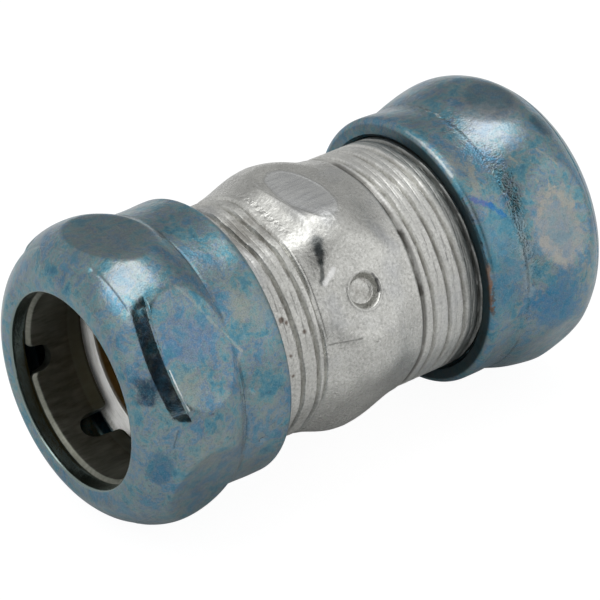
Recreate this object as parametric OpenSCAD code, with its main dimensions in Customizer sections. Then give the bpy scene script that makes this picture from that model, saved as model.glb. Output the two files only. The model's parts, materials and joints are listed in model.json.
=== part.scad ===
// Compression coupling for thin-wall electrical conduit, 1/2 in trade size.
// A short steel body with a hexagonal middle carries a gland nut on each end.
// Each nut has a slotted gland ring inside, which it squeezes onto the conduit.
// +X runs along the conduit, +Z is up, and the origin is midway between the mouths.

/* [Conduit] */
// Outside diameter of the conduit that the fitting grips
conduit_d = 17.93; // [17.7:0.01:18.0]
// Radial clearance of the body's bore around the conduit
bore_gap = 0.235; // [0.15:0.005:0.3]

/* [Body] */
// Length from one mouth of the body to the other
body_length = 36.2; // [36:0.1:36.4]
// How far the body sits from the middle: the left nut is screwed on further
body_offset = -1.2; // [-1.3:0.1:-1.1]
// Outside diameter of the thread
thread_d = 23; // [22.6:0.1:23.2]
// Largest diameter of the hexagonal middle, across its rounded corners
body_hex_d = 25.8; // [25.4:0.1:26.2]
// Distance across the flats of the hexagonal middle
body_flats = 23.9; // [23.5:0.1:24.2]
// Length of the hexagonal middle at its full diameter
body_hex_length = 1; // [0.5:0.5:3]
// Length of the shoulder between the hexagonal middle and each thread
shoulder_length = 5.7; // [4:0.1:6]
// Depth of the conical seat in each mouth
seat_depth = 1.3; // [1.1:0.05:1.5]
// Diameter of the punched conduit stops, as seen from outside
stop_d = 3.3; // [3:0.1:4]
// Depth of the punch mark outside each stop
stop_depth = 0.9; // [0.8:0.1:1.4]
// How far each stop reaches in past the bore
stop_reach = 0.5; // [0.3:0.1:1]

/* [Gland nuts] */
// Length over both nuts, from mouth to mouth
overall_length = 53.6; // [53.6:0.1:54.2]
// Length of each nut
nut_length = 15.15; // [14.8:0.05:15.3]
// Largest diameter of the nut, across its rounded corners
nut_hex_d = 29; // [28.8:0.1:29.4]
// Distance across the flats of the nut
nut_flats = 26.9; // [26.9:0.1:27.6]
// Diameter of the round skirt at the back of the nut
skirt_d = 26.6; // [26.2:0.1:26.8]
// Diameter of the flat rim round the nut's mouth
rim_d = 21.4; // [20.8:0.1:21.8]
// Radial clearance between the nut's thread and the body's
thread_gap = 0.08; // [0.05:0.01:0.1]

/* [Gland rings] */
// Length of each ring
ring_length = 6; // [5.6:0.1:6.1]
// Wall thickness of each ring
ring_wall = 1.1; // [0.9:0.05:1.1]
// Radial clearance of each ring around the conduit
ring_gap = 0.115; // [0.05:0.005:0.15]
// Number of slots in each edge of a ring
slot_count = 3; // [2:1:3]
// Width of the slots
slot_width = 2.5; // [1.2:0.1:2.6]
// Depth of the slots in the front edge
front_slot_depth = 2.3; // [1.5:0.1:2.5]
// Depth of the slots in the back edge
back_slot_depth = 3.7; // [2.5:0.1:3.8]

/* [Hidden] */
$fn = 96;
over = 0.5;                              // overrun of cutting shapes

bore_r = conduit_d / 2 + bore_gap;
thread_r = thread_d / 2;
mouth_r = bore_r + 0.2;                  // the nut's mouth lets the conduit through
body_end = body_length / 2;
nut_end = overall_length / 2;
hex_half = body_hex_length / 2;
shoulder_end = hex_half + shoulder_length;
seat_r = bore_r + 1.5;                   // radius of the seat at the body's mouth
thread_lead_in = 0.5;                    // chamfer on the thread's first turn

// Inside of the hexagonal middle, which is pressed outwards from a plain tube
hollow_r = bore_r + 0.7;
hollow_half = 3.2;
hollow_end = 5.2;

// Conduit stops, punched inwards through every other flat
stop_clocks = [60, 180, 300];            // from +Z towards -Y
stop_floor_d = stop_d - 0.6;             // flat bottom of the punch mark
stop_inner_d = stop_d + 0.1;             // metal pushed in behind it

// Nut, measured back from its mouth
widest_at = 5.5;                         // largest diameter
skirt_at = 11.6;                         // start of the round skirt
lip_depth = 1.55;                        // plain bore of the lip
lip_ledge = 0.4;                         // flat inner face of the lip
cone_end = 4.0;                          // inner end of the cone that squeezes the ring
cavity_r = 11.9;
thread_start = 8.2;                      // first turn of the nut's thread
countersink = 0.3;                       // at the back of the nut's thread
rim_round = 0.7;                         // rounding of the nut's back edge
left_nut_clock = -6.5;                   // where each nut's flats stopped
right_nut_clock = 3;

// Ring, measured back from the nut's mouth
ring_start = 1.65;                       // clears the lip's inner face
ring_inner_r = conduit_d / 2 + ring_gap;
ring_outer_r = ring_inner_r + ring_wall;
ring_chamfer = 0.55;                     // outer edges, which the cones press on
ring_bevel = 0.35;                       // inner front edge, which guides the conduit in
ring_flare = 0.15;                       // the bore opens a little towards the back edge
ring_flare_length = 1.6;
back_slot_turn = -50;                    // clock angle from a front slot to a back one
ring_clock = 17;                         // clock angle of the first front slot

// Runs of points along smooth curves, as [x, radius]
dome_steps = 10;
taper_steps = 6;
function ease(f) = f * f * (3 - 2 * f);
function dome_radius(f) = rim_d / 2 + (nut_hex_d - rim_d) / 2 * pow(1 - pow(1 - f, 1.9), 0.73);
function dome() = [for (i = [0:dome_steps]) let (f = i / dome_steps) [widest_at * f, dome_radius(f)]];
function taper(x0, r0, x1, r1) =
    [for (i = [0:taper_steps]) let (f = i / taper_steps) [x0 + (x1 - x0) * f, r0 + (r1 - r0) * ease(f)]];
function quarter(x, r, size) =
    [for (a = [90:-15:0]) [x - size + size * cos(a), r - size + size * sin(a)]];

// Turns a profile of [x, radius] points round the X axis
module turned(profile) {
    rotate([0, 90, 0])
        rotate([0, 0, 180])
            rotate_extrude()
                polygon([for (p = profile) [p[1], p[0]]]);
}

// Hexagonal bar along X with a flat on top
module hex_bar(flats, x0, x1) {
    translate([x0, 0, 0])
        rotate([0, 90, 0])
            rotate([0, 0, 30])
                cylinder(h = x1 - x0, r = flats / sqrt(3), $fn = 6);
}

// Peg in the YZ plane pointing out from the axis at the given clock angle
module peg(clock, r0, r1, d0, d1) {
    rotate([clock, 0, 0])
        translate([0, 0, r0])
            cylinder(h = r1 - r0, d1 = d0, d2 = d1);
}

// Body ---------------------------------------------------------------------

module body_outside() {
    bulge_r = body_hex_d / 2;
    intersection() {
        turned(concat(
            [[-shoulder_end, 0]],
            taper(-shoulder_end, thread_r, -hex_half, bulge_r),
            taper(hex_half, bulge_r, shoulder_end, thread_r),
            [[shoulder_end, 0]]
        ));
        hex_bar(body_flats, -shoulder_end - over, shoulder_end + over);
    }
    turned([
        [-body_end, 0],
        [-body_end, thread_r - thread_lead_in],
        [-body_end + thread_lead_in, thread_r],
        [body_end - thread_lead_in, thread_r],
        [body_end, thread_r - thread_lead_in],
        [body_end, 0]
    ]);
}

module body_inside() {
    turned([
        [-body_end - over, 0],
        [-body_end - over, seat_r],
        [-body_end, seat_r],
        [-body_end + seat_depth, bore_r],
        [-hollow_end, bore_r],
        [-hollow_half, hollow_r],
        [hollow_half, hollow_r],
        [hollow_end, bore_r],
        [body_end - seat_depth, bore_r],
        [body_end, seat_r],
        [body_end + over, seat_r],
        [body_end + over, 0]
    ]);
}

module coupling_body() {
    flat_r = body_flats / 2;
    slope = (stop_d - stop_floor_d) / stop_depth;
    color("silver")
        translate([body_offset, 0, 0])
            difference() {
                union() {
                    difference() {
                        body_outside();
                        body_inside();
                    }
                    for (clock = stop_clocks)
                        peg(clock, bore_r - stop_reach, hollow_r + over, stop_inner_d, stop_inner_d);
                }
                for (clock = stop_clocks)
                    peg(clock, flat_r - stop_depth, flat_r + over, stop_floor_d, stop_d + over * slope);
            }
}

// Gland nut, drawn with its mouth at x = 0 and its skirt towards +X ----------

module nut_outside() {
    bulge_r = nut_hex_d / 2;
    skirt_r = skirt_d / 2;
    intersection() {
        turned(concat(
            [[0, 0]],
            dome(),
            taper(widest_at, bulge_r, skirt_at, skirt_r),
            quarter(nut_length, skirt_r, rim_round),
            [[nut_length, 0]]
        ));
        hex_bar(nut_flats, -over, nut_length + over);
    }
}

module nut_inside() {
    thread_bore_r = thread_r + thread_gap;
    turned([
        [-over, 0],
        [-over, mouth_r],
        [lip_depth, mouth_r],
        [lip_depth, mouth_r + lip_ledge],
        [cone_end, cavity_r],
        [thread_start - 0.4, cavity_r],
        [thread_start, thread_bore_r],
        [nut_length - countersink, thread_bore_r],
        [nut_length + over, thread_bore_r + countersink + over],
        [nut_length + over, 0]
    ]);
}

module gland_nut(clock) {
    color("steelblue")
        rotate([clock, 0, 0])
            difference() {
                nut_outside();
                nut_inside();
            }
}

module gland_nut_left() {
    translate([-nut_end, 0, 0])
        gland_nut(left_nut_clock);
}

module gland_nut_right() {
    mirror([1, 0, 0])
        translate([-nut_end, 0, 0])
            gland_nut(right_nut_clock);
}

// Gland ring, drawn with its front edge at x = 0 ------------------------------

// Slot from one edge of the ring, with a round end
module ring_slot(clock, x_open, x_end) {
    rotate([clock, 0, 0]) {
        translate([min(x_open, x_end), -slot_width / 2, 0])
            cube([abs(x_end - x_open), slot_width, ring_outer_r + over]);
        translate([x_end, 0, 0])
            cylinder(h = ring_outer_r + over, d = slot_width);
    }
}

module gland_ring(clock) {
    step = 360 / slot_count;
    front_end = front_slot_depth - slot_width / 2;
    back_end = ring_length - back_slot_depth + slot_width / 2;
    color("dimgray")
        rotate([clock, 0, 0])
            difference() {
                turned([
                    [ring_bevel, ring_inner_r],
                    [0, ring_inner_r + ring_bevel],
                    [0, ring_outer_r - ring_chamfer],
                    [ring_chamfer, ring_outer_r],
                    [ring_length - ring_chamfer, ring_outer_r],
                    [ring_length, ring_outer_r - ring_chamfer],
                    [ring_length, ring_inner_r + ring_flare],
                    [ring_length - ring_flare_length, ring_inner_r]
                ]);
                for (i = [0:slot_count - 1]) {
                    ring_slot(i * step, -over, front_end);
                    ring_slot(i * step + back_slot_turn, ring_length + over, back_end);
                }
            }
}

module gland_ring_left() {
    translate([-nut_end + ring_start, 0, 0])
        gland_ring(ring_clock);
}

module gland_ring_right() {
    mirror([1, 0, 0])
        translate([-nut_end + ring_start, 0, 0])
            gland_ring(ring_clock);
}

coupling_body();
gland_nut_left();
gland_nut_right();
gland_ring_left();
gland_ring_right();
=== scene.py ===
import json
import math

import bpy
import numpy as np
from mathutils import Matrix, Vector


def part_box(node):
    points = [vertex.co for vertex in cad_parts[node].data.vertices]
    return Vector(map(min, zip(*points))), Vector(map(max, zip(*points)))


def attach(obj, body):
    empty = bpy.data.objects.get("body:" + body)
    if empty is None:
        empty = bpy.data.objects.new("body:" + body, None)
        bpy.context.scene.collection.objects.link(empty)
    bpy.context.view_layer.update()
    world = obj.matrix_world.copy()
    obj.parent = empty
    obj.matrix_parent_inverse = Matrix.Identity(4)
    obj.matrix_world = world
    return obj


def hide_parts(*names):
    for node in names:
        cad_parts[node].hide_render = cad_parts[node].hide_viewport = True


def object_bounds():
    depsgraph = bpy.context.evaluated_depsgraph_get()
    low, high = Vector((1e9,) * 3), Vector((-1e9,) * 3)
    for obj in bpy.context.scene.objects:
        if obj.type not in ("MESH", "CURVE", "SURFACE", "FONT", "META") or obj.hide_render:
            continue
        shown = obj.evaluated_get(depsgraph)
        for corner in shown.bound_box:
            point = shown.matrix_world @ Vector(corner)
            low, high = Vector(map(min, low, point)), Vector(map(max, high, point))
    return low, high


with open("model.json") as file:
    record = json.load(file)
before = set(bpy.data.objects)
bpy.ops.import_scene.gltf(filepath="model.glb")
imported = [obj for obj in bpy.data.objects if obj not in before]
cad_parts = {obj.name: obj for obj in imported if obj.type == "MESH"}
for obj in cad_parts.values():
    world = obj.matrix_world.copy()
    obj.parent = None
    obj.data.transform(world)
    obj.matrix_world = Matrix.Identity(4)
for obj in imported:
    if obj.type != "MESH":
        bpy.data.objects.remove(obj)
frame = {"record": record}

# The compression coupling: a zinc-plated body, two blue-chromate gland nuts and two gland rings.
# Lengths are in millimetres until a mesh is made, which is in metres.
# A clock angle runs from +Z towards -Y. t is the distance back from a nut's mouth.

cad_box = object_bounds()
MM = 0.001

# Sizes ------------------------------------------------------------------------


def box_mm(node):
    low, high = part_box(node)
    return np.array(low) / MM, np.array(high) / MM


record = frame["record"]
body_low, body_high = box_mm("coupling_body")
ring_low, ring_high = box_mm("gland_ring_left")
nut_low, nut_high = box_mm("gland_nut_left")

BODY_MID = (body_low[0] + body_high[0]) / 2
BODY_END = (body_high[0] - body_low[0]) / 2
NUT_END = -nut_low[0]
NUT_LENGTH = nut_high[0] - nut_low[0]
RING_START = ring_low[0] - nut_low[0]
RING_LENGTH = ring_high[0] - ring_low[0]
BORE_R = record["mounts"][0]["dims"]["r_mm"]
PITCH = 2 * math.pi * record["behaviour"]["couplings"][0]["ratio"] / MM

# Body
THREAD_R = 11.5
THREAD_DEPTH = 0.42
THREAD_STARTS = (0.82, 0.307)       # in turns, left and right
FEET = (-6.5, 4.95)                 # x of the groove between each shoulder and its thread
HEX_R = 12.9                        # across the rounded corners of the middle
HEX_FLAT = 11.95                    # axis to a flat of the middle
HUMP_HALF = 3.16                    # half length of the middle, at half its height
HUMP_SOFT = 0.97                    # how gently its shoulders fall
FADE_START = 0.9                    # from the middle to where the flats begin to fade
FADE_LENGTH = 4.3
EDGE_SOFT = 0.3                     # blend across an edge between two flats
SHOULDER_CLOCK = 10                 # clock angle of the facet on the left shoulder
SHOULDER_HALF = math.radians(17)
FOOT_DEPTH = 0.2                    # groove at the foot of each thread
FOOT_WIDTHS = (0.17, 0.26)
SEAT_R = BORE_R + 1.5
SEAT_DEPTH = 1.3
HOLLOW_R = BORE_R + 0.7
STOP_CLOCKS = (60, 180, 300)
STOP_R = 1.63
STOP_FLOOR_R = 1.28
STOP_DEPTH = 0.9
STOP_REACH = 0.5                    # past the bore's wall
RUBBED = (2.15, 4.5)                # half sizes of the scratched oval on the top flat
RUBBED_CLOCK = 4.5

# Nuts
MOUTH_R = BORE_R + 0.2
RIM_R = 10.7
NUT_R = 14.5                        # across the nut's rounded corners
WIDEST = 5.5                        # t of the largest radius
LEFT_CREASE = 9.9                   # t where the six-sided part meets the round skirt
RIGHT_CREASE = 10.8
SKIRT_R = 13.36
CAVITY_R = 11.9
THREAD_START = 8.2                  # t where the nut's thread begins
THREAD_GAP = 0.09
RIM_ROUND = 0.7                     # rounding of the nut's back edge
FACET_START = 1.45                  # t of the narrow facet, at the middle of its flat
FACET_WIDTH = 1.4
FACET_SLOPE = 0.384
FACET_HALF = math.radians(22.5)
FACET_GROOVE = 1.95                 # t of the fine groove along its front

# Rings
RING_IN = 9.08
RING_OUT = RING_IN + 1.1
SLOT_HALF = 1.25
SLOT_CORNER = 0.6
FRONT_SLOT = 2.3
BACK_SLOT = 3.7
RING_CLOCK = 17                     # clock angle of a front slot
BACK_TURN = -50                     # from a front slot to the next back slot
RING_FLARE = 0.15                   # how far the ring opens over its last FLARE_LENGTH
FLARE_LENGTH = 1.6
RING_EDGE = 0.6                     # the eased edges end within this


# Curves -----------------------------------------------------------------------


def smooth(low, high, x):
    """0 below low, 1 above high, and a smooth step between them."""
    f = np.clip((x - low) / (high - low), 0, 1)
    return f * f * (3 - 2 * f)


def soft_min(a, b, k):
    """The lesser of a and b, blended over a width of k."""
    h = np.clip(0.5 + 0.5 * (b - a) / k, 0, 1)
    return b * (1 - h) + a * h - k * h * (1 - h)


def soft_max(a, b, k):
    return -soft_min(-a, -b, k)


def turn_from(clocks, centre):
    """Clock angles in radians, measured from centre in degrees, between -pi and pi."""
    return (clocks - math.radians(centre) + math.pi) % (2 * math.pi) - math.pi


def off_flat(clocks, clock):
    """Angles from a flat's middle, held where the cosine is still well above 0."""
    return np.clip(turn_from(clocks, clock), -0.7, 0.7)


def thread_valley(x, clocks, start):
    """How deep the right-hand thread is cut, from 0 on a crest to 1 in a valley."""
    turns = (x / PITCH - clocks / (2 * math.pi) + start) % 1
    off = np.abs(turns - 0.5)

    # fine lines left on the crest by rolling
    seams = np.exp(-((0.47 - off) / 0.022) ** 2) + 0.6 * np.exp(-((0.4 - off) / 0.02) ** 2)
    return 1 - smooth(0.02, 0.17, off) + 0.13 * seams


def dent(x, clocks, at, clock, radius, size):
    """A round Gaussian hollow at an axial place and clock angle."""
    across = turn_from(clocks, clock) * radius
    return np.exp(-((x - at) ** 2 + across**2) / size**2)


# Meshes -----------------------------------------------------------------------


def place(x, r, clocks):
    return np.stack([x, -r * np.sin(clocks), r * np.cos(clocks)], -1) * MM


def even_clocks(count):
    return np.arange(count) * 2 * math.pi / count


def tube(name, x, r, clocks, sharp=38):
    """A closed skin. Rows run once round the wall's section, columns once round the axis."""
    rows, columns = r.shape
    points = place(x, r, np.broadcast_to(clocks, r.shape)).reshape(-1, 3)
    i = np.arange(rows)[:, None]
    j = np.arange(columns)[None, :]
    next_i = (i + 1) % rows
    next_j = (j + 1) % columns
    corners = (
        i * columns + j,
        i * columns + next_j,
        next_i * columns + next_j,
        next_i * columns + j,
    )
    faces = np.stack(np.broadcast_arrays(*corners), -1).reshape(-1, 4)
    mesh = bpy.data.meshes.new(name)
    mesh.from_pydata(points.tolist(), [], faces.tolist())
    mesh.shade_smooth()
    mesh.set_sharp_from_angle(angle=math.radians(sharp))
    piece = bpy.data.objects.new(name, mesh)
    bpy.context.scene.collection.objects.link(piece)
    return piece


def section(columns, *runs):
    """Stacks runs of (x, radius), each a row list, into two arrays of rows by columns."""
    xs = [np.broadcast_to(x.reshape(len(x), -1), (len(x), columns)) for x, _ in runs]
    rs = [np.broadcast_to(r.reshape(len(r), -1), (len(r), columns)) for _, r in runs]
    return np.concatenate(xs), np.concatenate(rs)


def along(knots, step):
    """[x, radius] knots filled in with a point at least every step, as two arrays."""
    xs, rs = [], []
    for (x0, r0), (x1, r1) in zip(knots, knots[1:]):
        count = max(1, math.ceil(math.hypot(x1 - x0, r1 - r0) / step))
        f = np.arange(count) / count
        xs.append(x0 + (x1 - x0) * f)
        rs.append(r0 + (r1 - r0) * f)
    return np.append(np.concatenate(xs), knots[-1][0]), np.append(np.concatenate(rs), knots[-1][1])


# Body -------------------------------------------------------------------------


def body_outside(s, clocks):
    """Radius of the body's outside at a distance s from its middle."""
    x = s + BODY_MID
    hump = 1 / (1 + np.exp((np.abs(s) - HUMP_HALF) / HUMP_SOFT))
    r = THREAD_R + (HEX_R - THREAD_R) * hump / 0.963        # which is the hump's own height

    # a facet on the left shoulder, then the six flats, which fade out before the thread
    shoulder = smooth(2.0, 3.2, -s)
    facet = r * math.cos(SHOULDER_HALF) + 0.6 * (1 - shoulder)
    r = soft_min(r, facet / np.cos(off_flat(clocks, SHOULDER_CLOCK)), EDGE_SOFT)
    fade = np.minimum(soft_max(0 * s, (np.abs(s) - FADE_START) / FADE_LENGTH, 0.3), 1)
    for flat in range(0, 360, 60):
        reach = HEX_FLAT - (HEX_FLAT - THREAD_R) * fade + (0.5 * shoulder if flat == 0 else 0)
        r = soft_min(r, reach / np.cos(off_flat(clocks, flat)), 0.7 if flat == 120 else EDGE_SOFT)

    # threads, with a groove at the foot of each
    for side, foot, width, start in zip((-1, 1), FEET, FOOT_WIDTHS, THREAD_STARTS):
        past = side * (x - foot)
        r = np.where(past > 0, soft_min(r, THREAD_R + 0 * r, 0.05), r)
        r = r - THREAD_DEPTH * smooth(0.1, 0.8, past) * thread_valley(x, clocks, start)
        r = r - FOOT_DEPTH * np.exp(-((past - 0.05) / width) ** 2)
    r = np.minimum(r, THREAD_R - 0.5 + (BODY_END - np.abs(s)))

    # punched stops and the rubbed oval
    for clock in STOP_CLOCKS:
        rho = np.hypot(s, turn_from(clocks, clock) * HEX_FLAT)
        r = r - STOP_DEPTH * (1 - smooth(STOP_FLOOR_R - 0.06, STOP_R + 0.1, rho))
        r = r + 0.05 * np.exp(-((rho - STOP_R - 0.2) / 0.14) ** 2)
    oval = np.hypot(s / RUBBED[0], turn_from(clocks, RUBBED_CLOCK) * HEX_FLAT / RUBBED[1])
    r = r - 0.05 * (1 - smooth(0.9, 1.02, oval)) + 0.03 * np.exp(-((oval - 1.06) / 0.07) ** 2)
    return r


def body_inside(s, clocks):
    """Radius of the body's inside, with the metal pushed in behind each stop."""
    knots = [0, 3.2, 5.2, BODY_END - SEAT_DEPTH, BODY_END]
    r = np.interp(np.abs(s), knots, [HOLLOW_R, HOLLOW_R, BORE_R, BORE_R, SEAT_R])
    for clock in STOP_CLOCKS:
        rho = np.hypot(s, turn_from(clocks, clock) * BORE_R)
        r = r - (HOLLOW_R - BORE_R + STOP_REACH) * (1 - smooth(1.5, 2.0, rho))
    return r


def body_clocks():
    """Clock angles, closer together across the stops."""
    wide = np.radians(np.arange(0, 360, 1.5))
    near = [np.radians(c + np.arange(-11, 11.01, 0.4)) for c in STOP_CLOCKS]
    keep = [a for a in wide if all(abs(turn_from(a, c)) > math.radians(11.3) for c in STOP_CLOCKS)]
    return np.sort(np.concatenate([keep, *near]))


def make_body():
    clocks = body_clocks()
    half = np.concatenate([
        np.arange(0, 2.2, 0.08),
        np.arange(2.2, 5.0, 0.14),
        np.arange(5.0, BODY_END - 0.5, 0.08),
        np.linspace(BODY_END - 0.5, BODY_END, 4),
    ])
    s_out = np.concatenate([-half[:0:-1], half])[:, None]
    half = np.concatenate([
        np.arange(0, 2.4, 0.12),
        np.linspace(2.4, 5.2, 9),
        np.linspace(5.5, BODY_END - SEAT_DEPTH, 16),
        np.linspace(BODY_END - SEAT_DEPTH + 0.1, BODY_END, 8),
    ])
    s_in = np.concatenate([half[::-1], -half[1:]])[:, None]
    x, r = section(
        len(clocks),
        (s_out + BODY_MID, body_outside(s_out, clocks)),
        (s_in + BODY_MID, body_inside(s_in, clocks)),
    )
    return tube("threaded_body", x, r, clocks)


# Nuts -------------------------------------------------------------------------


def dome(t):
    """Radius of the nut's rounded front."""
    f = np.clip(t / WIDEST, 0, 1)
    return RIM_R + (NUT_R - RIM_R) * (1 - (1 - f) ** 1.9) ** 0.73


def front_facet(t, off):
    """Radius of the narrow facet in front of a flat, at an angle off the flat's middle."""
    start = FACET_START + 0.6 * (off / math.radians(21)) ** 2
    end = start + FACET_WIDTH
    r = dome(start) + FACET_SLOPE * (np.minimum(t, end) - start)
    past_end = np.clip(t - end, 0, None)
    past_side = np.clip(np.abs(off) - FACET_HALF, 0, None)
    return r + 4 * past_end + 12 * past_side


def left_taper(t):
    """Radius behind the widest place."""
    back = np.clip((t - WIDEST) / (LEFT_CREASE - WIDEST), 0, 2)
    return NUT_R - (NUT_R - SKIRT_R + 0.12) * back**2.3


def right_taper(t):
    """Radius behind the widest place, which falls ever more steeply."""
    back = np.clip((t - WIDEST) / (RIGHT_CREASE - WIDEST), 0, None)
    return NUT_R - (NUT_R - SKIRT_R) * back**1.75


def nut_outside(t, clocks, look):
    """Radius of a nut's outside."""
    taper = left_taper if look["side"] < 0 else right_taper
    r = np.where(t < WIDEST, dome(t), taper(t)) + 0 * clocks
    crease = 1 + 0 * clocks
    groove = 1 + 0 * clocks
    for clock, reach in look["flats"]:
        faceted = clock in look["faceted"]
        off = off_flat(clocks, clock)
        soft = look["soft"]
        if faceted:
            soft = soft * smooth(3.5, 5.0, t) + 0.02
        r = soft_min(r, reach / np.cos(off), soft)
        groove = groove * smooth(0.1, 0.3, np.abs(off))
        if faceted:
            r = np.where(t > 1.2, soft_min(r, front_facet(t, off), 0.03), r)
            crease = crease * smooth(0.38, 0.42, np.abs(off))

    # the round skirt, which swells a little towards both its ends
    swell = 0.1 * smooth(10.5, 14.2, t)
    fillet = 0.06 * (1 - np.clip((t - 9.9) / 2.3, 0, 1))
    r = np.where(t > WIDEST, soft_max(r, SKIRT_R - 0.1 + swell + fillet, 0.2), r)

    # grooves in the crease and along the front of the facets, unevenness and dents
    r = r - look["groove"] * groove * np.exp(-((t - look["crease"] + 0.03) / 0.1) ** 2)
    r = r - 0.06 * crease * np.exp(-((t - FACET_GROOVE) / 0.1) ** 2)
    r = r + 0.03 * np.sin(3 * clocks + 0.9 * t) * np.sin(0.8 * t + 2 * clocks + 1) * smooth(2, 4, t)
    for at, clock, size, depth in look["dents"]:
        r = r - depth * dent(t, clocks, at, clock, NUT_R, size)

    over = np.clip(t - (NUT_LENGTH - RIM_ROUND), 0, RIM_ROUND)
    return r - RIM_ROUND + np.sqrt(RIM_ROUND**2 - over**2)


def nut_thread(t, x, clocks, start):
    """Radius of the nut's thread, which follows the body's with a small gap."""
    valley = np.clip(thread_valley(x, clocks, start) - 0.15, 0, 0.8)
    r = THREAD_R + THREAD_GAP - THREAD_DEPTH * valley
    entry = smooth(THREAD_START - 0.3, THREAD_START + 0.8, t)
    r = CAVITY_R * (1 - entry) + r * entry
    return np.maximum(r, THREAD_R + THREAD_GAP + (t - NUT_LENGTH + 0.3))


def make_nut(name, look):
    side, crease = look["side"], look["crease"]
    clocks = even_clocks(360)
    t_out = np.concatenate([
        np.arange(0, 1.2, 0.1),
        np.arange(1.2, 4.2, 0.05),
        np.arange(4.2, crease - 0.8, 0.18),
        np.arange(crease - 0.8, crease + 0.5, 0.08),
        np.arange(crease + 0.5, NUT_LENGTH - RIM_ROUND - 0.1, 0.14),
        NUT_LENGTH - RIM_ROUND + RIM_ROUND * np.sin(np.linspace(0, math.pi / 2, 9)),
    ])[:, None]
    t_thread = np.arange(NUT_LENGTH, THREAD_START - 0.4, -0.1)[:, None]
    x_thread = side * (NUT_END - t_thread)
    inner = [
        (THREAD_START - 0.5, CAVITY_R),
        (4.0, CAVITY_R),
        (1.55, MOUTH_R + 0.4),
        (1.55, MOUTH_R + 0.02),
    ]
    lip = [(1.5, MOUTH_R), (0.25, MOUTH_R), (0.12, MOUTH_R + 0.04), (0.02, MOUTH_R + 0.16)]
    t_in, r_in = along(inner, 0.4)
    t_lip, r_lip = along(lip, 0.3)
    face = np.array([MOUTH_R + 0.4, RIM_R - 0.25])
    t, r = section(
        len(clocks),
        (t_out, nut_outside(t_out, clocks, look)),
        (t_thread, nut_thread(t_thread, x_thread, clocks, THREAD_STARTS[side > 0])),
        (t_in, r_in),
        (t_lip, r_lip),
        (np.zeros(2), face),
    )
    x = side * (NUT_END - t)
    if side > 0:
        x, r = x[::-1], r[::-1]
    return tube(name, x, r, clocks)


# Rings ------------------------------------------------------------------------


def slot_depth_at(across, depth):
    """Depth of a round-ended slot with eased corners, at a distance across from its middle."""
    across = np.abs(across)
    round_end = depth - SLOT_HALF + np.sqrt(np.clip(SLOT_HALF**2 - across**2, 0, None))
    past = np.clip(across - SLOT_HALF, 0, SLOT_CORNER)
    eased = SLOT_CORNER - np.sqrt(np.clip(SLOT_CORNER**2 - (SLOT_CORNER - past) ** 2, 0, None))
    return np.where(across < SLOT_HALF, round_end, eased)


def flared(t):
    """Inner radius of a ring at a distance t from its front edge."""
    back = np.clip((t - RING_LENGTH) / FLARE_LENGTH + 1, 0, 1)
    return RING_IN + RING_FLARE * back


def ring_clocks():
    """Clock angles, closer together at the sides of the slots."""
    edge = math.degrees(SLOT_HALF / RING_IN)
    span = math.degrees(SLOT_CORNER / RING_IN)
    angles = list(np.arange(0, 360, 2.0))
    for k in range(3):
        for middle in (RING_CLOCK + 120 * k, RING_CLOCK + BACK_TURN + 120 * k):
            angles += list(middle + np.linspace(-edge + 0.05, edge - 0.05, 15))
            for sign in (-1, 1):
                angles += list(middle + sign * (edge + np.linspace(0, span, 9)))
    angles = np.unique(np.round(np.array(angles) % 360, 4))
    keep = np.append(True, np.diff(angles) > 0.03)
    return np.radians(angles[keep])


def make_ring(name, side):
    clocks = ring_clocks()
    front = np.zeros(len(clocks))
    back = np.zeros(len(clocks))
    for k in range(3):
        at_front = turn_from(clocks, RING_CLOCK + 120 * k) * RING_IN
        at_back = turn_from(clocks, RING_CLOCK + BACK_TURN + 120 * k) * RING_IN
        front = np.maximum(front, slot_depth_at(at_front, FRONT_SLOT))
        back = np.maximum(back, slot_depth_at(at_back, BACK_SLOT))
    low = front
    high = RING_LENGTH - back
    plain_front = 1 - smooth(0, 0.7, front)
    plain_back = 1 - smooth(0, 0.7, back)
    middle = np.linspace(0, 1, 12)[:, None] * (high - low - 2 * RING_EDGE) + low + RING_EDGE

    # (t, radius) of each row, once round the section. Corners are eased, except inside a slot.
    rows = []
    for inset, cut in ((0, 0.5), (0.05, 0.4), (0.25, 0.12), (0.5, 0)):
        rows.append((low + inset, RING_OUT - 0.03 - (cut - 0.03) * plain_front))
    rows += [(row, RING_OUT + 0 * front) for row in middle]
    for inset, cut in ((0.55, 0), (0.25, 0.26), (0.05, 0.48), (0, 0.55)):
        rows.append((high - inset, RING_OUT - 0.03 - (cut - 0.03) * plain_back))
    for inset, cut in ((0, 0.1), (0.08, 0)):
        rows.append((high - inset, flared(high - inset) + cut))
    rows += [(row, flared(row)) for row in middle[::-1]]
    for inset, cut in ((0.36, 0), (0.3, 0.03), (0, 0.36)):
        rows.append((low + inset, RING_IN + cut * plain_front))
    t = RING_START + np.array([row for row, _ in rows])
    r = np.array([radius for _, radius in rows])
    x = side * (NUT_END - t)
    if side > 0:
        x, r = x[::-1], r[::-1]
    return tube(name, x, r, clocks, 30)


# Materials --------------------------------------------------------------------


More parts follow.
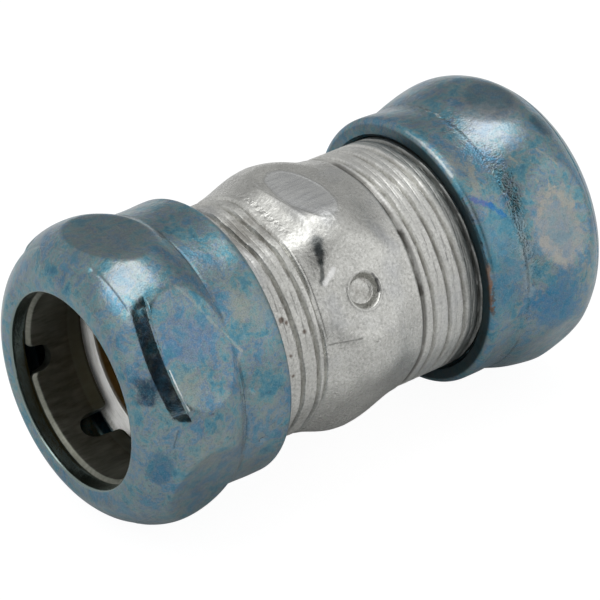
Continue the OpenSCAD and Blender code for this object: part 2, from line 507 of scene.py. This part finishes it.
class Nodes:
    """Short calls for the nodes that a material or the world uses."""

    def __init__(self, tree):
        self.tree = tree

    def node(self, kind, **settings):
        made = self.tree.nodes.new(kind)
        for key, value in settings.items():
            setattr(made, key, value)
        return made

    def link(self, value, socket):
        """Joins an output to a socket, or sets the socket to a number, vector or colour."""
        if isinstance(value, bpy.types.NodeSocket):
            self.tree.links.new(value, socket)
        elif isinstance(value, tuple) and len(value) == 3 and len(socket.default_value) == 4:
            socket.default_value = (*value, 1)
        else:
            socket.default_value = value

    def maths(self, operation, a, b=0.0):
        made = self.node("ShaderNodeMath", operation=operation)
        self.link(a, made.inputs[0])
        self.link(b, made.inputs[1])
        return made.outputs[0]

    def times(self, a, b):
        return self.maths("MULTIPLY", a, b)

    def apart(self, a, b):
        """How far apart two numbers are."""
        return self.maths("ABSOLUTE", self.maths("SUBTRACT", a, b))

    def vector(self, operation, a, b):
        made = self.node("ShaderNodeVectorMath", operation=operation)
        self.link(a, made.inputs[0])
        self.link(b, made.inputs[1])
        return made

    def step(self, value, low, high, to_low=0.0, to_high=1.0):
        """A smooth step between two values, as value goes from low to high."""
        made = self.node("ShaderNodeMapRange", interpolation_type="SMOOTHSTEP")
        self.link(value, made.inputs["Value"])
        limits = {"From Min": low, "From Max": high, "To Min": to_low, "To Max": to_high}
        for key, number in limits.items():
            self.link(number, made.inputs[key])
        return made.outputs["Result"]


class Surface(Nodes):
    """A node material on a Principled shader. Its places are in mm."""

    def __init__(self, name):
        self.material = bpy.data.materials.new(name)
        self.material.use_nodes = True
        super().__init__(self.material.node_tree)
        self.shader = self.tree.nodes["Principled BSDF"]
        place_mm = self.node("ShaderNodeVectorMath", operation="SCALE")
        place_mm.inputs["Scale"].default_value = 1 / MM
        self.link(self.node("ShaderNodeTexCoord").outputs["Object"], place_mm.inputs[0])
        self.place = place_mm.outputs[0]

    def noise(self, scale, detail=3.0, rough=0.5, distortion=0.0, at=None, shift=(0, 0, 0)):
        """Noise with about scale features a millimetre, from 0 to 1."""
        made = self.node("ShaderNodeTexNoise")
        self.link(self.vector("ADD", at or self.place, shift).outputs[0], made.inputs["Vector"])
        made.inputs["Scale"].default_value = scale
        made.inputs["Detail"].default_value = detail
        made.inputs["Roughness"].default_value = rough
        made.inputs["Distortion"].default_value = distortion
        return made.outputs["Fac"]

    def stretched(self, factors):
        return self.vector("MULTIPLY", self.place, factors).outputs[0]

    def along(self, axis):
        made = self.node("ShaderNodeSeparateXYZ")
        self.link(self.place, made.inputs[0])
        return made.outputs[axis]

    def length(self, vector):
        made = self.node("ShaderNodeVectorMath", operation="LENGTH")
        self.link(vector, made.inputs[0])
        return made.outputs["Value"]

    def radius(self):
        """Distance from the X axis."""
        return self.length(self.stretched((0, 1, 1)))

    def ramp(self, value, *stops):
        made = self.node("ShaderNodeValToRGB")
        band = made.color_ramp
        while len(band.elements) < len(stops):
            band.elements.new(0.5)
        for element, (at, colour) in zip(band.elements, stops):
            element.position = at
            element.color = (*colour, 1)
        self.link(value, made.inputs["Fac"])
        return made.outputs["Color"]

    def mix(self, amount, a, b):
        made = self.node("ShaderNodeMix", data_type="RGBA")
        self.link(amount, made.inputs[0])
        self.link(a, made.inputs[6])
        self.link(b, made.inputs[7])
        return made.outputs[2]

    def wandering(self, away, ragged, noise):
        """A distance made greater or less by up to ragged, where ragged isn't 0."""
        if not ragged:
            return away
        away = self.maths("ADD", away, self.times(self.noise(*noise), 2 * ragged))
        return self.maths("SUBTRACT", away, ragged)

    def near(self, centre, radius, soft, ragged=0.0, squash=(1, 1, 1)):
        """1 within radius of a place and 0 beyond it, with a ragged edge if asked."""
        apart = self.vector("SUBTRACT", self.place, centre).outputs[0]
        away = self.length(self.vector("MULTIPLY", apart, squash).outputs[0])
        away = self.wandering(away, ragged, (0.6, 5, 0.7))
        return self.step(away, radius - soft, radius + soft, 1.0, 0.0)

    def line(self, start, end, half_width, ragged=0.0):
        """1 on the line between two places and 0 beyond its half width."""
        start, end = Vector(start), Vector(end)
        span = end - start
        apart = self.vector("SUBTRACT", self.place, start).outputs[0]
        share = self.vector("DOT_PRODUCT", apart, span / span.length_squared).outputs["Value"]
        held = self.node("ShaderNodeClamp")
        self.link(share, held.inputs["Value"])
        nearest = self.node("ShaderNodeVectorMath", operation="SCALE")
        nearest.inputs[0].default_value = span
        self.link(held.outputs[0], nearest.inputs["Scale"])
        away = self.vector("DISTANCE", apart, nearest.outputs[0]).outputs["Value"]
        away = self.wandering(away, ragged, (1.5, 4, 0.6))
        return self.step(away, 0.5 * half_width, 1.5 * half_width, 1.0, 0.0)

    def marked(self, colour, ends, half_width, ragged, tint, amount):
        """colour with a line of tint between two places."""
        return self.mix(self.times(self.line(*ends, half_width, ragged), amount), colour, tint)

    def bump(self, height, distance, normal=None):
        """height of 0 to 1 raises the surface by up to distance in mm."""
        made = self.node("ShaderNodeBump")
        made.inputs["Strength"].default_value = 1
        made.inputs["Distance"].default_value = distance * MM
        self.link(height, made.inputs["Height"])
        if normal is not None:
            self.link(normal, made.inputs["Normal"])
        return made.outputs["Normal"]

    def finish(self, colour, roughness, normal):
        self.link(colour, self.shader.inputs["Base Color"])
        self.link(roughness, self.shader.inputs["Roughness"])
        self.link(normal, self.shader.inputs["Normal"])
        self.shader.inputs["Metallic"].default_value = 1.0
        return self.material


def around(x, r, clock):
    """A place at an axial position, radius and clock angle in degrees."""
    angle = math.radians(clock)
    return x, -r * math.sin(angle), r * math.cos(angle)


def on_body(x, clock):
    r = body_outside(np.array([[x - BODY_MID]]), np.radians([clock]))
    return around(x, r.item(), clock)


def on_nut(look, t, clock):
    r = nut_outside(np.array([[t]]), np.radians([clock]), look)
    return around(look["side"] * (NUT_END - t), r.item(), clock)


def zinc_plate():
    """Bright zinc plate: sparkle, faint clouding, scratches on top, darker thread valleys, and
    painted light and shade.
    """
    m = Surface("zinc_plate")
    x = m.along("X")
    from_middle = m.apart(x, BODY_MID)
    radius = m.radius()
    # the seat's outer edge, past radius 10.2, is left out of the whitening as a painted shade
    # beside the ring
    inside = m.step(radius, 10.2, 10.5, 1, 0)
    outside = m.step(radius, 10.5, 10.7)

    # the plate itself
    clouds = m.noise(0.35, 4, 0.6)
    grain = m.noise(4.0, 3, 0.75)
    cool = m.noise(0.18, 3, 0.5, shift=(7, 3, 1))
    colour = m.ramp(clouds, (0.3, (0.52, 0.52, 0.495)), (0.7, (0.68, 0.68, 0.645)))
    colour = m.mix(m.step(grain, 0.5, 0.7, 0, 0.5), colour, (0.24, 0.24, 0.23))
    colour = m.mix(m.step(grain, 0.5, 0.3, 0, 0.5), colour, (0.88, 0.88, 0.86))
    colour = m.mix(m.step(cool, 0.52, 0.7, 0, 0.35), colour, (0.44, 0.46, 0.50))
    # painted light: the right thread is made lighter than the left
    colour = m.mix(m.step(x, 4.2, 5.0, 0, 0.2), colour, (0.92, 0.92, 0.89))

    # darker patches in the thread's valleys, spots and marks; some marks are painted shade, a
    # painted reflection and a painted highlight
    # darker in the thread's valleys, in patches
    valley = m.times(m.step(radius, 11.0, 11.35, 0.5, 0), m.step(radius, 10.6, 10.8))
    valley = m.times(valley, m.step(m.noise(0.8, 3), 0.35, 0.6))
    colour = m.mix(valley, colour, (0.16, 0.145, 0.12))
    for at, size in BODY_SPOTS:
        spot = m.near(on_body(*at), size, 0.12, 0.3)
        colour = m.mix(m.times(spot, 0.8), colour, (0.10, 0.06, 0.04))
    for ends, *line in BODY_LINES:
        colour = m.marked(colour, [on_body(*end) for end in ends], *line)

    # the bright turned seat, and yellow chromate from just inside it
    edge = BODY_END - SEAT_DEPTH - 0.25
    seat = m.times(inside, m.step(from_middle, edge - 0.15, edge + 0.15))
    turned = m.noise(1.0, 3, 0.7, at=m.stretched((5, 0.4, 0.4)))
    turned = m.ramp(turned, (0.3, (0.80, 0.80, 0.77)), (0.55, (1.0, 1.0, 0.98)))
    colour = m.mix(seat, colour, turned)
    yellowed = m.times(inside, m.step(from_middle, edge - 0.15, edge + 0.15, 1, 0))
    amber = m.ramp(m.noise(0.5, 5, 0.65), (0.35, (0.33, 0.23, 0.08)), (0.65, (0.48, 0.34, 0.14)))
    colour = m.mix(yellowed, colour, amber)

    # painted shadow and reflection of the right nut on its thread, and painted shade in the groove
    # at its foot
    right_nut_shadow = m.times(m.step(x, 9.6, 11.0, 0, 0.6), outside)
    colour = m.mix(right_nut_shadow, colour, (0.05, 0.065, 0.065))
    # painted shade in the groove at the right foot, in patches
    foot = m.step(m.apart(x, FEET[1] + 0.05), 0.15, 0.4, 1, 0)
    foot = m.times(foot, m.step(m.noise(0.22, 2), 0.35, 0.6, 0.15, 0.75))
    colour = m.mix(m.times(foot, outside), colour, (0.09, 0.085, 0.075))

    # the rubbed oval on the top flat
    top = (BODY_MID, -0.94, 11.9)               # on the top flat, at RUBBED_CLOCK
    oval = (1 / RUBBED[0], 1 / RUBBED[1], 0.2)
    rubbed = m.near(top, 1.0, 0.04, 0.12, squash=oval)
    rim = m.maths("SUBTRACT", m.near(top, 1.05, 0.04, 0.12, squash=oval), rubbed)
    colour = m.mix(m.times(rim, 0.4), colour, (0.25, 0.26, 0.26))
    colour = m.mix(m.times(rubbed, 0.4), colour, (0.78, 0.80, 0.82))
    scratches = m.noise(2.5, 3, 0.7, at=m.stretched((0.12, 1, 1)))
    scratched = m.times(rubbed, m.step(scratches, 0.42, 0.68, 0, 0.4))
    colour = m.mix(scratched, colour, (0.36, 0.37, 0.39))

    # gloss
    rough = m.step(grain, 0.3, 0.7, 0.22, 0.36)
    rough = m.step(seat, 0, 1, rough, 0.42)
    rough = m.maths("ADD", rough, m.step(from_middle, 5.4, 6.2, 0, 0.14))

    # fine relief, with a row of small pecks at the left foot
    normal = m.bump(m.noise(3.2, 3, 0.65), 0.017)
    normal = m.bump(m.noise(0.8, 2, 0.5), 0.05, normal)
    peened = m.step(m.apart(x, -5.6), 0.15, 0.4, 1, 0)
    peened = m.times(peened, m.step(m.apart(m.along("Z"), 6.0), 4.2, 5.4, 0.15, 1))
    pecks = m.times(peened, m.maths("SUBTRACT", m.noise(1.8, 2), 0.5))
    normal = m.bump(pecks, 0.2, normal)
    normal = m.bump(m.times(rubbed, scratches), 0.03, normal)
    return m.finish(colour, rough, normal)


def blue_chromate(name, look, shift):
    """Glossy blue chromate: oil-like bands of teal, straw, lavender and blue on orange peel."""
    m = Surface(name)
    from_middle = m.times(m.along("X"), look["side"])
    radius = m.radius()
    back_x = NUT_END - NUT_LENGTH
    crease = m.apart(from_middle, NUT_END - look["crease"])

    # bands and flecks
    wide = m.noise(0.16, 5, 0.6, 1.2, shift=shift)
    small = m.noise(0.5, 7, 0.72, 0.3, shift=shift)
    fleck = m.noise(2.0, 4, 0.75, shift=shift)
    blue = m.ramp(
        wide,
        (0.30, (0.045, 0.155, 0.245)),
        (0.44, (0.085, 0.235, 0.335)),
        (0.56, (0.13, 0.30, 0.38)),
        (0.70, (0.20, 0.32, 0.355)),
    )
    bands = m.ramp(
        small,
        (0.28, (0.025, 0.14, 0.24)),
        (0.38, (0.07, 0.25, 0.34)),
        (0.44, (0.15, 0.33, 0.37)),
        (0.48, (0.30, 0.35, 0.29)),
        (0.51, (0.35, 0.32, 0.28)),
        (0.54, (0.26, 0.27, 0.34)),
        (0.58, (0.12, 0.25, 0.39)),
        (0.66, (0.08, 0.27, 0.37)),
    )
    colour = m.mix(0.52, blue, bands)
    colour = m.mix(m.step(fleck, 0.52, 0.68, 0, 0.42), colour, (0.34, 0.41, 0.45))
    colour = m.mix(m.step(fleck, 0.46, 0.32, 0, 0.45), colour, (0.06, 0.12, 0.18))

    # stains, lines and dust, among them painted highlights
    for place, size, squash, soft, ragged, hollow, tint, amount in look["patches"]:
        centre = on_nut(look, *place)
        mask = m.near(centre, size, soft, ragged, (squash, 1, 1))
        if hollow:
            inner = m.near(centre, size - hollow, soft, ragged, (squash, 1, 1))
            mask = m.maths("SUBTRACT", mask, m.times(inner, 0.8))
        mask = m.times(mask, m.step(fleck, 0.3, 0.6, 0.6 * amount, amount))
        colour = m.mix(mask, colour, tint)
    for ends, *line in look["lines"]:
        colour = m.marked(colour, [on_nut(look, *end) for end in ends], *line)
    dust = m.noise(9, 2, 0.6, shift=shift)
    colour = m.mix(m.step(dust, 0.5, 0.75, 0, 0.3), colour, (0.38, 0.43, 0.45))
    colour = m.mix(m.step(dust, 0.5, 0.25, 0, 0.35), colour, (0.04, 0.08, 0.11))

    # duller lip, painted shade in the crease, and painted shade on the back face
    lip = m.step(radius, MOUTH_R + 0.1, MOUTH_R + 0.25, 0.9, 0)
    colour = m.mix(lip, colour, (0.25, 0.31, 0.29))
    # painted shade along the crease, in patches
    crease_shade = m.step(m.noise(0.3, 3, shift=shift), 0.4, 0.6, 0, 0.5)
    crease_shade = m.times(m.step(crease, 0.06, 0.2, 1, 0), crease_shade)
    colour = m.mix(crease_shade, colour, (0.03, 0.06, 0.08))
    # painted shade on the back face, deeper towards -Y
    back = m.step(from_middle, back_x + 0.12, back_x + 0.3, 1, 0)
    back = m.times(back, m.step(radius, 12.75, 13.0, 0.85, 0))
    back = m.times(back, m.step(m.along("Y"), -3.0, 2.0, 1, 0.45))
    colour = m.mix(back, colour, (0.03, 0.045, 0.05))

    # gloss, duller where the back edge is worn
    rough = m.step(m.noise(0.9, 3, 0.6, shift=shift), 0.3, 0.7, 0.17, 0.27)
    worn = m.step(from_middle, back_x + 0.6, back_x + 1.3, 0.18, 0)
    rough = m.maths("ADD", rough, worn)

    # orange peel, and on the right nut a stippled band along the crease
    peel = m.step(crease, 0.6, 2.2, 1, 0.12) if look["side"] > 0 else 0.15
    pecks = m.maths("SUBTRACT", m.noise(4.5, 2, 0.55), 0.5)
    normal = m.bump(m.times(pecks, peel), 0.055)
    if look["side"] > 0:
        stipple = m.maths("SUBTRACT", m.noise(2.2, 1), 0.5)
        stipple = m.times(stipple, m.step(crease, 0.08, 0.2, 1, 0))
        normal = m.bump(stipple, 0.25, normal)
    normal = m.bump(m.noise(1.4, 2, 0.5), 0.025, normal)
    normal = m.bump(m.noise(7.0, 2, 0.5), 0.005, normal)
    return m.finish(colour, rough, normal)


def ring_steel():
    """Dull dark steel with fine streaks along X, brighter in the flare."""
    m = Surface("ring_steel")
    streaks = m.noise(2.5, 3, 0.6, at=m.stretched((0.25, 1, 1)))
    colour = m.ramp(streaks, (0.3, (0.165, 0.17, 0.14)), (0.7, (0.29, 0.295, 0.255)))
    tarnish = m.step(m.noise(0.4, 3), 0.5, 0.7, 0, 0.4)
    colour = m.mix(tarnish, colour, (0.17, 0.17, 0.14))
    from_middle = m.maths("ABSOLUTE", m.along("X"))
    back = NUT_END - RING_START - RING_LENGTH
    flare_end = back + FLARE_LENGTH
    flare = m.step(from_middle, flare_end - 0.1, flare_end + 0.15, 0.5, 0)
    colour = m.mix(flare, colour, (0.36, 0.42, 0.39))
    back_edge = m.step(from_middle, back + 0.12, back + 0.3, 0.7, 0)
    colour = m.mix(back_edge, colour, (0.05, 0.05, 0.045))
    rough = m.step(streaks, 0.3, 0.7, 0.38, 0.5)
    return m.finish(colour, rough, m.bump(streaks, 0.01))


# Stage ------------------------------------------------------------------------


def make_floor(height):
    """A pale floor. The camera sees mostly glow, so that it looks as even as studio paper."""
    size = 4.0
    corners = [(-size, -size), (size, -size), (size, size), (-size, size)]
    mesh = bpy.data.meshes.new("floor")
    mesh.from_pydata([(x, y, height) for x, y in corners], [], [(0, 1, 2, 3)])
    floor = bpy.data.objects.new("floor", mesh)
    bpy.context.scene.collection.objects.link(floor)
    material = bpy.data.materials.new("floor")
    material.use_nodes = True
    m = Nodes(material.node_tree)
    shader = m.tree.nodes["Principled BSDF"]
    shader.inputs["Roughness"].default_value = 1.0
    shader.inputs["Specular IOR Level"].default_value = 0.0
    shader.inputs["Base Color"].default_value = (0.8, 0.8, 0.8, 1)
    glow = m.node("ShaderNodeEmission")
    glow.inputs["Strength"].default_value = 1.12
    share = m.times(m.node("ShaderNodeLightPath").outputs["Is Camera Ray"], 0.85)
    blend = m.node("ShaderNodeMixShader")
    m.link(share, blend.inputs["Fac"])
    m.link(shader.outputs[0], blend.inputs[1])
    m.link(glow.outputs[0], blend.inputs[2])
    m.link(blend.outputs[0], m.tree.nodes["Material Output"].inputs["Surface"])
    mesh.materials.append(material)


class Sky(Nodes):
    """A light tent of even brightness, with soft-edged rectangles that are brighter or darker."""

    def __init__(self, brightness):
        self.world = bpy.data.worlds.new("studio")
        self.world.use_nodes = True
        super().__init__(self.world.node_tree)
        self.place = self.node("ShaderNodeTexCoord").outputs["Generated"]
        self.value = self.maths("ADD", brightness, 0.0)

    def along(self, axis):
        return self.vector("DOT_PRODUCT", self.place, axis).outputs["Value"]

    def panel(self, ahead, side, wide, high, soft, strength):
        """A rectangle around a direction: wide, along side, and high are half angles in degrees."""
        ahead = Vector(ahead).normalized()
        over = ahead.cross(Vector(side)).normalized()
        across = over.cross(ahead)
        depth = self.maths("MAXIMUM", self.along(ahead), 0.05)
        mask = self.maths("GREATER_THAN", depth, 0.06)
        for axis, half in ((across, wide), (over, high)):
            off = self.maths("ABSOLUTE", self.maths("ARCTAN2", self.along(axis), depth))
            start, end = math.radians(half - soft), math.radians(half + soft)
            mask = self.times(mask, self.step(off, start, end, 1.0, 0.0))
        self.value = self.maths("ADD", self.value, self.times(mask, strength))

    def finish(self):
        """The camera itself sees white where there is no floor."""
        value = self.maths("MAXIMUM", self.value, 0.02)
        seen = self.node("ShaderNodeMix", data_type="FLOAT")
        self.link(self.node("ShaderNodeLightPath").outputs["Is Camera Ray"], seen.inputs[0])
        self.link(value, seen.inputs[2])
        self.link(1.0, seen.inputs[3])
        background = self.tree.nodes["Background"]
        self.link(seen.outputs[0], background.inputs["Strength"])
        self.link((1, 1, 1, 1), background.inputs["Color"])
        bpy.context.scene.world = self.world


def make_sky():
    sky = Sky(0.62)
    for ahead, side, *rest in (
        ((-0.19, 0.12, 0.98), (1, 0, 0), 38, 15.5, 6.5, 1.32),        # overhead
        ((-0.24, -0.83, 0.5), (1, 0, 0), 10.5, 42, 3, -0.8),          # dark gap in front
        ((0.6, -0.65, 0.45), (1, 1, 0), 22, 24, 12, 0.33),            # front right
        ((-0.8, -0.2, 0.55), (0, 1, 0), 25, 30, 12, 0.2),             # front left
        ((0.65, 0.62, 0.42), (1, -1, 0), 38, 18, 12, -0.2),           # back right
    ):
        sky.panel(ahead, side, *rest)
    sky.finish()


def make_camera(centre):
    """A long lens, 37.9 degrees to the left and 32.7 degrees up."""
    azimuth, elevation = math.radians(-37.9), math.radians(32.7)
    distance = 0.2996
    back = Vector((
        math.sin(azimuth) * math.cos(elevation),
        -math.cos(azimuth) * math.cos(elevation),
        math.sin(elevation),
    ))
    data = bpy.data.cameras.new("camera")
    data.lens = 192
    data.sensor_width = 36
    data.clip_start = 0.01
    data.clip_end = 20
    camera = bpy.data.objects.new("camera", data)
    bpy.context.scene.collection.objects.link(camera)
    turn = (-back).to_track_quat("-Z", "Y")
    aim = centre + turn @ Vector((-0.506, -0.655, 0)) * MM      # mm right and up in the picture
    camera.rotation_mode = "QUATERNION"
    camera.rotation_quaternion = turn
    camera.location = aim + back * distance
    bpy.context.scene.camera = camera


# Looks ------------------------------------------------------------------------


def six_flats(first, *reaches):
    """Clock angle and distance from the axis of each flat, from the first clock angle on."""
    return [(first + 60 * i, reach) for i, reach in enumerate(reaches)]


# spots: x and clock angle, and radius.
# lines: two ends of x, or t, and clock angle, half width, raggedness, tint and amount.
BODY_SPOTS = [
    ((-10.3, 58), 0.3),
    ((-9.9, 60), 0.2),
    ((-10.3, 75), 0.16),
    ((-10.3, 85), 0.2),
    ((-8.35, 67), 0.15),
]
BODY_LINES = [
    # painted dark reflection on the left shoulder, in three strokes
    (((-3.9, 32.5), (-4.2, 36)), 0.52, 0.3, (0.06, 0.08, 0.09), 0.65),
    (((-4.1, 35), (-4.5, 41)), 0.36, 0.25, (0.04, 0.05, 0.055), 0.8),
    (((-4.5, 41), (-5.1, 50)), 0.22, 0.2, (0.05, 0.06, 0.06), 0.75),
    # painted highlight along the flat's edge below it
    (((-4.9, 50.5), (-3.7, 46.5)), 0.26, 0.2, (0.97, 0.97, 0.96), 0.8),
    (((-6.2, 77), (-3.0, 78.5)), 0.07, 0.12, (0.14, 0.14, 0.13), 0.6),
    (((-5.4, 80), (-1.5, 82)), 0.06, 0.12, (0.2, 0.2, 0.18), 0.5),
    # painted shade on the far wall of the punched stop at clock 60
    (((0.05, 54.5), (0.35, 57.5)), 0.13, 0.12, (0.12, 0.12, 0.12), 0.75),
    (((0.35, 57.5), (0.3, 62.5)), 0.16, 0.12, (0.10, 0.10, 0.10), 0.85),
    # painted shade in the groove at the right foot
    (((4.9, 42), (4.9, 72)), 0.3, 0.35, (0.07, 0.065, 0.055), 0.85),
]

# groove: depth of the groove in the crease. soft: how rounded the edges of the flats are.
# faceted: clock angles of the flats with a narrow facet in front.
# dents: t, clock angle, size and depth.
# patches: t and clock angle, radius, squash along X, softness, raggedness,
#     width if it is only a rim, tint and amount.
LEFT = {
    "side": -1,
    "crease": LEFT_CREASE,
    "groove": 0.06,
    "soft": 0.12,
    "flats": six_flats(-6, 13.55, 13.4, 13.5, 13.55, 13.45, 13.5),
    "faceted": (54, 174, 294),
    "dents": [
        (10.6, 80, 0.5, -0.22),
        (10.2, 85, 0.4, 0.1),
        (11.9, 104, 0.27, 0.3),
        (1.9, 8, 0.3, 0.1),
        (3.0, 34, 0.3, -0.06),
    ],
    "lines": [
        (((6.6, 31), (7.7, 38)), 0.1, 0.3, (0.44, 0.46, 0.42), 0.3),
        (((7.7, 38), (8.4, 45)), 0.1, 0.3, (0.44, 0.46, 0.42), 0.25),
        (((8.4, 45), (9.7, 55)), 0.1, 0.3, (0.44, 0.46, 0.42), 0.3),
        (((9.7, 55), (10.5, 61.5)), 0.14, 0.3, (0.46, 0.48, 0.44), 0.4),
        (((10.5, 61.5), (9.7, 66)), 0.14, 0.3, (0.46, 0.48, 0.44), 0.3),
        (((9.5, -28), (9.6, 6)), 0.3, 0.25, (0.04, 0.06, 0.07), 0.7),
        # painted highlight along the edge behind the facet
        (((3.05, 58), (3.15, 66)), 0.07, 0.08, (0.85, 0.88, 0.88), 0.8),
        (((3.15, 66), (3.5, 74)), 0.07, 0.08, (0.80, 0.84, 0.84), 0.7),
        (((3.3, 77), (5.6, 78)), 0.08, 0.1, (0.05, 0.06, 0.10), 0.6),
        (((2.4, 81), (2.0, 88)), 0.08, 0.1, (0.05, 0.09, 0.12), 0.5),
        (((10.9, 92), (13.4, 86)), 0.2, 0.3, (0.30, 0.35, 0.34), 0.5),
        (((5.5, 84), (10.0, 103)), 0.25, 0.4, (0.07, 0.17, 0.24), 0.4),
    ],
    "patches": [
        ((6, -6), 4.0, 1, 0.9, 1.5, 0, (0.15, 0.18, 0.17), 0.4),
        ((12, 47), 1.6, 1.5, 0.6, 2.5, 0, (0.36, 0.37, 0.30), 0.55),
        ((14, 50), 1.6, 1, 0.5, 2.0, 0, (0.30, 0.33, 0.29), 0.4),
        ((1.0, 63), 1.15, 1, 0.5, 1.5, 0, (0.01, 0.035, 0.07), 0.9),
        ((6.0, 50), 2.2, 1, 0.8, 3.0, 0, (0.13, 0.22, 0.40), 0.4),
        ((4.0, 66), 1.6, 1, 0.6, 2.5, 0, (0.30, 0.34, 0.28), 0.5),
        # painted highlight on the front of the left nut
        ((3.5, 20), 2.0, 1, 0.6, 2.0, 0, (0.40, 0.42, 0.42), 0.5),
        ((1.2, 99), 1.9, 2, 0.5, 1.5, 0, (0.03, 0.14, 0.25), 0.65),
        ((5.0, 96), 1.8, 1, 0.6, 3.0, 0, (0.34, 0.36, 0.30), 0.4),
    ],
}
RIGHT = {
    "side": 1,
    "crease": RIGHT_CREASE,
    "groove": 0.0,
    "soft": 0.3,
    "flats": six_flats(3, 13.95, 13.6, 13.9, 13.95, 13.85, 13.9),
    "faceted": (),
    "dents": [(13.2, 66, 0.35, 0.05), (4.0, 40, 0.5, 0.05)],
    "lines": [
        (((14.3, 42), (12.9, 47)), 0.25, 0.7, (0.10, 0.14, 0.42), 0.65),
        (((12.9, 47), (11.8, 53)), 0.25, 0.6, (0.02, 0.18, 0.46), 0.75),
        (((14.2, 24), (12.6, 31)), 0.5, 1.6, (0.38, 0.38, 0.32), 0.5),
        (((12.6, 31), (13.6, 40)), 0.5, 1.6, (0.38, 0.38, 0.32), 0.5),
        (((15.05, 70), (15.1, 79)), 0.22, 0.5, (0.27, 0.15, 0.09), 0.8),
        (((15.1, 79), (15.05, 89)), 0.24, 0.6, (0.29, 0.16, 0.10), 0.85),
        (((14.9, 80), (14.95, 92)), 0.16, 0.6, (0.10, 0.07, 0.05), 0.6),
        # painted highlight along the rounded back rim
        (((14.9, 0), (14.9, 10)), 0.1, 0.2, (0.60, 0.66, 0.66), 0.4),
        (((14.9, 10), (14.9, 20)), 0.13, 0.2, (0.66, 0.71, 0.70), 0.5),
        (((14.9, 20), (14.87, 30)), 0.14, 0.2, (0.70, 0.75, 0.73), 0.5),
        (((14.5, 16), (14.5, 27)), 0.06, 0.2, (0.60, 0.66, 0.66), 0.35),
        (((15.05, 40), (15.05, 50)), 0.12, 0.2, (0.02, 0.03, 0.035), 0.7),
        (((15.05, 50), (15.05, 60)), 0.12, 0.2, (0.02, 0.03, 0.035), 0.7),
        (((15.05, 60), (15.05, 70)), 0.12, 0.2, (0.02, 0.03, 0.035), 0.7),
        # painted highlight along the crease
        (((10.9, -16), (10.85, -8)), 0.08, 0.4, (0.60, 0.64, 0.63), 0.5),
        (((10.85, -8), (10.8, 0)), 0.08, 0.4, (0.60, 0.64, 0.63), 0.5),
        (((10.6, 56), (10.6, 70)), 0.45, 1.2, (0.40, 0.48, 0.51), 0.45),
        (((10.6, 70), (10.7, 88)), 0.45, 1.2, (0.36, 0.45, 0.49), 0.45),
        (((5.9, 35), (4.6, 43)), 0.12, 0.15, (0.45, 0.44, 0.36), 0.5),
        (((8.7, 33), (7.4, 46)), 0.12, 0.15, (0.45, 0.42, 0.34), 0.5),
        (((8.0, 57), (6.1, 51)), 0.4, 1.4, (0.46, 0.42, 0.35), 0.45),
        (((6.1, 51), (4.4, 60)), 0.4, 1.4, (0.46, 0.42, 0.35), 0.45),
        (((8.5, 68), (6.8, 80)), 0.4, 1.4, (0.46, 0.42, 0.35), 0.4),
        (((4.4, 82), (3.4, 96)), 0.3, 1.4, (0.42, 0.40, 0.33), 0.4),
        (((11.0, 55), (11.4, 100)), 0.25, 0.6, (0.07, 0.17, 0.24), 0.4),
    ],
    "patches": [
        ((5.2, 3), 2.6, 1.15, 0.4, 0.8, 0, (0.07, 0.15, 0.20), 0.6),
        ((5.3, 3), 3.1, 1.15, 0.3, 1.2, 0.5, (0.30, 0.30, 0.27), 0.5),
        ((6.5, 65), 3.9, 1.5, 0.6, 2.6, 1.3, (0.45, 0.40, 0.35), 0.5),
        ((6.6, 66), 2.6, 1.3, 0.7, 2.6, 0, (0.31, 0.34, 0.37), 0.55),
        # painted highlight, whitening the right nut's highlight
        ((8.3, 17), 2.6, 1, 1.4, 2.5, 0, (0.46, 0.50, 0.53), 0.65),
        ((7.6, 96), 3.0, 1.2, 0.9, 4.5, 0, (0.03, 0.20, 0.40), 0.6),
        ((13.2, 62), 2.6, 1, 0.8, 2.5, 0, (0.08, 0.27, 0.38), 0.5),
        ((14.4, 86), 2.2, 1, 0.8, 2.5, 0, (0.06, 0.25, 0.37), 0.5),
        ((3.4, 25), 1.2, 1, 0.5, 2.0, 0, (0.03, 0.09, 0.14), 0.7),
    ],
}


# Assembly ---------------------------------------------------------------------

body = make_body()
left_nut = make_nut("blue_nut_left", LEFT)
right_nut = make_nut("blue_nut_right", RIGHT)
left_ring = make_ring("slotted_ring_left", -1)
right_ring = make_ring("slotted_ring_right", 1)

body.data.materials.append(zinc_plate())
left_nut.data.materials.append(blue_chromate("blue_chromate_left", LEFT, (0, 0, 0)))
right_nut.data.materials.append(blue_chromate("blue_chromate_right", RIGHT, (31, 12, 5)))
steel = ring_steel()
left_ring.data.materials.append(steel)
right_ring.data.materials.append(steel)

for piece, body_name, node, slot in (
    (body, "coupling", "coupling_body", "zinc_plated"),
    (left_nut, "left_nut", "gland_nut_left", "blue_chromate"),
    (right_nut, "right_nut", "gland_nut_right", "blue_chromate"),
    (left_ring, "left_ring", "gland_ring_left", "ring_steel"),
    (right_ring, "right_ring", "gland_ring_right", "ring_steel"),
):
    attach(piece, body_name)
    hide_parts(node)

make_floor(-NUT_R * MM)         # clear of a nut's corners as it turns
make_sky()
make_camera((cad_box[0] + cad_box[1]) / 2)
bpy.context.scene.view_settings.view_transform = "Standard"
